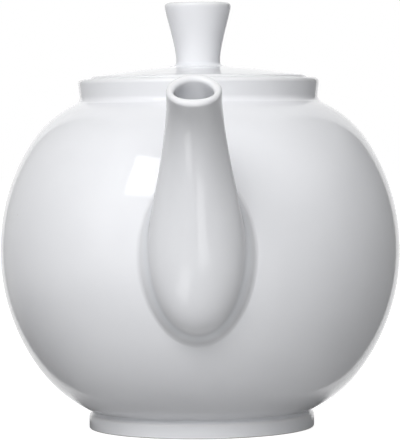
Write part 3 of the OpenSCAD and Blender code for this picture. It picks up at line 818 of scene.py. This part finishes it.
def bump(tree, where, scale, detail, strength, depth):
    n = tree.nodes.new("ShaderNodeBump")
    n.inputs["Strength"].default_value = strength
    n.inputs["Distance"].default_value = depth
    tree.links.new(noise(tree, where, scale, detail), n.inputs["Height"])
    return n


def specks(tree, where):
    """Where the few pin-head specks from the firing are."""
    cells = tree.nodes.new("ShaderNodeTexVoronoi")
    cells.inputs["Scale"].default_value = SPECK_SCALE
    tree.links.new(where, cells.inputs["Vector"])
    dot = ramp(tree, cells.outputs["Distance"], DOT_STOPS)
    rare = ramp(tree, cells.outputs["Color"], RARE_STOPS)
    return blend_colour(tree, 1.0, dot, rare, "MULTIPLY")


def bare_tread(tree, where):
    """Where the tread is wiped bare of glaze before firing, along a slightly uneven line."""
    height = tree.nodes.new("ShaderNodeSeparateXYZ")
    tree.links.new(where, height.inputs["Vector"])
    wander = noise(tree, where, *WIPE)
    line = math_node(tree, "MULTIPLY_ADD", wander, WIPE_WANDER, height.outputs["Z"])
    return ramp(tree, math_node(tree, "MULTIPLY", line, WIPE_PER_METRE), WIPE_STOPS)


def glaze_material(name, bare_foot=False):
    mat = bpy.data.materials.new(name)
    mat.use_nodes = True
    tree = mat.node_tree
    shader = tree.nodes["Principled BSDF"]
    where = tree.nodes.new("ShaderNodeTexCoord").outputs["Object"]
    # the body shows through the glaze as a faint, slow change of tone
    tone = ramp(tree, noise(tree, where, *TONE), TONE_STOPS)
    # the glaze is thin and a little warmer on edges, thick and cooler where it pools
    lies = tree.nodes.new("ShaderNodeAttribute")
    lies.attribute_name = "glaze"
    tint = ramp(tree, lies.outputs["Fac"], TINT_STOPS)
    colour = blend_colour(tree, 1.0, tone, tint, "MULTIPLY")
    colour = blend_colour(tree, specks(tree, where), colour, SPECK_COLOUR)
    # gloss with a faint orange peel and slow waves from the dipping
    rough = ramp(tree, noise(tree, where, *GLOSS), GLOSS_STOPS)
    peel, waves = bump(tree, where, *PEEL), bump(tree, where, *WAVES)
    tree.links.new(peel.outputs["Normal"], waves.inputs["Normal"])
    if bare_foot:
        bare = bare_tread(tree, where)
        colour = blend_colour(tree, bare, colour, ramp(tree, noise(tree, where, *GRAIN), GRAIN_STOPS))
        rough = blend_colour(tree, bare, rough, BISCUIT_ROUGH)
    tree.links.new(colour, shader.inputs["Base Color"])
    tree.links.new(rough, shader.inputs["Roughness"])
    tree.links.new(waves.outputs["Normal"], shader.inputs["Normal"])
    shader.inputs["IOR"].default_value = GLAZE_IOR
    return mat


glaze = glaze_material("white_glaze")
foot_glaze = glaze_material("foot_glaze", bare_foot=True)
PIECES = [
    (make_bowl(), "bowl", "pot", glaze),
    (make_foot(), "foot_ring", "pot", foot_glaze),
    (make_collar(), "neck_collar", "pot", glaze),
    (make_spout(), "spout", "pot", glaze),
    (make_handle(), "handle", "pot", glaze),
    (make_cover(), "lid_cover", "lid", glaze),
    (make_flange(), "lid_flange", "lid", glaze),
    (make_lug(), "lid_lug", "lid", glaze),
    (make_knob(), "lid_knob", "lid", glaze),
]
for piece, cad_node, body, material in PIECES:
    piece.data.materials.clear()
    piece.data.materials.append(material)
    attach(piece, body)
    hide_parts(cad_node)


# Studio: the camera sees white, and the glaze mirrors a room. Each part of the room fades in between two
# values of a direction's x, y or z, to its own level, over a dim level all round
BACKDROP_EDGE, BACKDROP_BEHIND, BACKDROP_LEVEL = (0.48, 0.40), (0.1, 0.35), 1.35
LEFT_EDGE, LEFT_LOW, LEFT_LEVEL = (-0.15, -0.6), (-0.45, -0.1), 0.9
ABOVE_EDGE, ABOVE_LEVEL = (0.22, 0.55), 0.8
BELOW_EDGE, BELOW_LEVEL = (-0.35, -0.75), 0.6
DIM_LEVEL, SKY_LEVEL, SKY_COLOUR = 0.3, 0.02, (0.97, 0.985, 1.0, 1)
# The floor, in metres: the camera sees it lifted to white from near to far, and the glaze mirrors it only
# right beside the foot, in the pot's shadow, and the room beyond it
STAGE_R, STAGE_SIDES, STAGE_TONE = 4.0, 96, 0.46
WHITE_EDGE, WHITE_NEAR, MIRROR_EDGE = (0.1, 0.5), 0.9, (0.048, 0.06)


def fade(tree, value, start, stop, level=1.0):
    n = tree.nodes.new("ShaderNodeMapRange")
    n.interpolation_type = "SMOOTHSTEP"
    for name, v in (("From Min", start), ("From Max", stop), ("To Min", 0.0), ("To Max", level)):
        n.inputs[name].default_value = v
    tree.links.new(value, n.inputs["Value"])
    return n.outputs["Result"]


def choose(tree, fac, no, yes):
    n = tree.nodes.new("ShaderNodeMixShader")
    tree.links.new(fac, n.inputs["Fac"])
    tree.links.new(no, n.inputs[1])
    tree.links.new(yes, n.inputs[2])
    return n.outputs["Shader"]


def make_world():
    world = bpy.data.worlds.new("studio")
    world.use_nodes = True
    tree = world.node_tree
    tree.nodes.clear()
    rays = tree.nodes.new("ShaderNodeLightPath").outputs
    way = tree.nodes.new("ShaderNodeSeparateXYZ")
    tree.links.new(tree.nodes.new("ShaderNodeTexCoord").outputs["Generated"], way.inputs["Vector"])
    x, y, z = (way.outputs[axis] for axis in "XYZ")
    backdrop = math_node(
        tree,
        "MULTIPLY",
        fade(tree, math_node(tree, "ABSOLUTE", x), *BACKDROP_EDGE, BACKDROP_LEVEL),
        fade(tree, y, *BACKDROP_BEHIND),
    )
    left_side = math_node(tree, "MULTIPLY", fade(tree, x, *LEFT_EDGE, LEFT_LEVEL), fade(tree, z, *LEFT_LOW))
    above, below = fade(tree, z, *ABOVE_EDGE, ABOVE_LEVEL), fade(tree, z, *BELOW_EDGE, BELOW_LEVEL)
    level = math_node(tree, "MAXIMUM", backdrop, DIM_LEVEL)
    for part in (left_side, above, below):
        level = math_node(tree, "MAXIMUM", level, part)
    room = tree.nodes.new("ShaderNodeBackground")
    tree.links.new(level, room.inputs["Strength"])
    sky = tree.nodes.new("ShaderNodeBackground")
    sky.inputs["Color"].default_value = SKY_COLOUR
    sky.inputs["Strength"].default_value = SKY_LEVEL
    white = tree.nodes.new("ShaderNodeBackground")
    white.inputs["Color"].default_value = (*WHITE, 1)
    mirror_ray = math_node(tree, "MAXIMUM", rays["Is Glossy Ray"], rays["Is Transmission Ray"])
    lit = choose(tree, mirror_ray, sky.outputs[0], room.outputs[0])
    out = tree.nodes.new("ShaderNodeOutputWorld")
    tree.links.new(choose(tree, rays["Is Camera Ray"], lit, white.outputs[0]), out.inputs["Surface"])
    return world


def floor_material():
    mat = bpy.data.materials.new("pale_floor")
    mat.use_nodes = True
    tree = mat.node_tree
    tree.nodes.clear()
    rays = tree.nodes.new("ShaderNodeLightPath").outputs
    spot = tree.nodes.new("ShaderNodeVectorMath")
    spot.operation = "LENGTH"
    tree.links.new(tree.nodes.new("ShaderNodeTexCoord").outputs["Object"], spot.inputs[0])
    pale = tree.nodes.new("ShaderNodeBsdfDiffuse")
    pale.inputs["Color"].default_value = (STAGE_TONE, STAGE_TONE, STAGE_TONE, 1)
    lifted = tree.nodes.new("ShaderNodeEmission")
    near = math_node(tree, "MAXIMUM", fade(tree, spot.outputs["Value"], *WHITE_EDGE), WHITE_NEAR)
    tree.links.new(math_node(tree, "MULTIPLY", near, rays["Is Camera Ray"]), lifted.inputs["Strength"])
    both = tree.nodes.new("ShaderNodeAddShader")
    tree.links.new(pale.outputs[0], both.inputs[0])
    tree.links.new(lifted.outputs[0], both.inputs[1])
    mirror_far = fade(tree, spot.outputs["Value"], *MIRROR_EDGE)
    beyond = math_node(tree, "MULTIPLY", mirror_far, rays["Is Glossy Ray"])
    clear = tree.nodes.new("ShaderNodeBsdfTransparent")
    out = tree.nodes.new("ShaderNodeOutputMaterial")
    tree.links.new(choose(tree, beyond, both.outputs[0], clear.outputs[0]), out.inputs["Surface"])
    return mat


def make_floor():
    mesh = bpy.data.meshes.new("floor")
    angles = [2 * math.pi * k / STAGE_SIDES for k in range(STAGE_SIDES)]
    edge = [(STAGE_R * math.cos(a), STAGE_R * math.sin(a), 0) for a in angles]
    mesh.from_pydata(edge, [], [list(range(STAGE_SIDES))])
    mesh.materials.append(floor_material())
    obj = bpy.data.objects.new("floor", mesh)
    scene.collection.objects.link(obj)
    return obj


scene.world = make_world()
floor = make_floor()

# Lamps, in metres and watts: each stands off the pot's middle in a direction and faces it
AIM = Vector((0, 0, 0.07))
SHEET_Z = 0.001


def lamp(name, way, distance, size, power, tall=None):
    data = bpy.data.lights.new(name, "AREA")
    data.shape = "RECTANGLE"
    data.size, data.size_y = size, tall or size
    data.energy = power
    obj = bpy.data.objects.new(name, data)
    scene.collection.objects.link(obj)
    obj.location = AIM + Vector(way).normalized() * distance
    obj.rotation_euler = (AIM - obj.location).to_track_quat("-Z", "Y").to_euler()
    return obj


def sheet(name, x, y, wide, deep, power):
    """A lamp lying on the floor and facing up."""
    obj = lamp(name, (0, 0, 1), 1.0, wide, power, deep)
    obj.location, obj.rotation_euler = (x, y, SHEET_Z), (math.pi, 0, 0)
    return obj


# the glaze mirrors the key as a window, and none of the panels
lamp("key_softbox", (-0.42, -0.62, 0.66), 1.3, 0.5, 3.0)
PANELS = [
    lamp("front_panel", (-0.159, -0.749, 0.643), 1.8, 0.9, 16.4),
    lamp("high_panel", (-0.119, -0.561, 0.819), 1.8, 0.9, 1.6),
    lamp("right_panel", (0.150, -0.853, 0.500), 1.8, 0.9, 8.2),
    lamp("low_strip", (0.000, -0.996, 0.087), 1.8, 1.6, 3.2, 0.5),
    lamp("left_panel", (-0.628, -0.439, 0.643), 1.8, 0.9, 1.0),
    lamp("back_fill", (0.15, 0.85, 0.5), 2.0, 1.4, 2.0),
    lamp("back_left", (-0.60, 0.79, 0.12), 2.0, 1.2, 12.0),
    lamp("back_right", (0.60, 0.79, 0.12), 2.0, 1.2, 12.0),
]
for panel in PANELS:
    panel.visible_glossy = False
# a dim card on the left, and pale sheets in front of the pot that reach the spout alone: they are only
# mirrored in the glaze, as a pale patch and as soft streaks
left_card = lamp("left_card", (-0.78, -0.56, 0.28), 1.5, 0.5, 0.7, 1.0)
SHEETS = [
    sheet("right_sheet", 0.050, -0.257, 0.074, 0.096, 0.034),
    sheet("left_sheet", -0.058, -0.163, 0.055, 0.076, 0.020),
]
on_spout = bpy.data.collections.new("on_spout")
on_spout.objects.link(bpy.data.objects["spout_glazed"])
for pale_sheet in SHEETS:
    pale_sheet.light_linking.receiver_collection = on_spout
for card in (left_card, *SHEETS):
    card.visible_diffuse = False
    card.visible_camera = False

# Camera, from the photo: a long lens a little below the rim, the spout turned slightly to the left.
# It stands off the axis and over the table in metres, and its aim is shifted in pixels of the photo
FOCAL_PX, HEIGHT_PX, SENSOR = 2620.0, 440, 36.0
CAMERA_OFF, CAMERA_UP, CAMERA_CLIP = 0.959, 0.113, (0.05, 50)
CAMERA_TURN, CAMERA_ROLL = 0.85, 0.57
AIM_DOWN_PX, AIM_SIDE_PX = 102, 0.2


def make_camera():
    data = bpy.data.cameras.new("camera")
    data.sensor_width = SENSOR
    data.lens = SENSOR * FOCAL_PX / HEIGHT_PX
    data.clip_start, data.clip_end = CAMERA_CLIP
    obj = bpy.data.objects.new("camera", data)
    scene.collection.objects.link(obj)
    turn, roll = math.radians(CAMERA_TURN), math.radians(CAMERA_ROLL)
    pitch, yaw = math.atan(AIM_DOWN_PX / FOCAL_PX), math.atan(AIM_SIDE_PX / FOCAL_PX)
    stand = Vector((CAMERA_OFF * math.sin(turn), -CAMERA_OFF * math.cos(turn), CAMERA_UP))
    level = Vector((-math.sin(turn), math.cos(turn), 0))
    look = level * math.cos(pitch) - Vector((0, 0, math.sin(pitch)))
    obj.matrix_world = (
        Matrix.Translation(stand)
        @ Matrix.Rotation(-yaw, 4, "Z")
        @ look.to_track_quat("-Z", "Y").to_matrix().to_4x4()
        @ Matrix.Rotation(-roll, 4, "Z")
    )
    return obj


scene.camera = make_camera()

scene.view_settings.view_transform = "Standard"
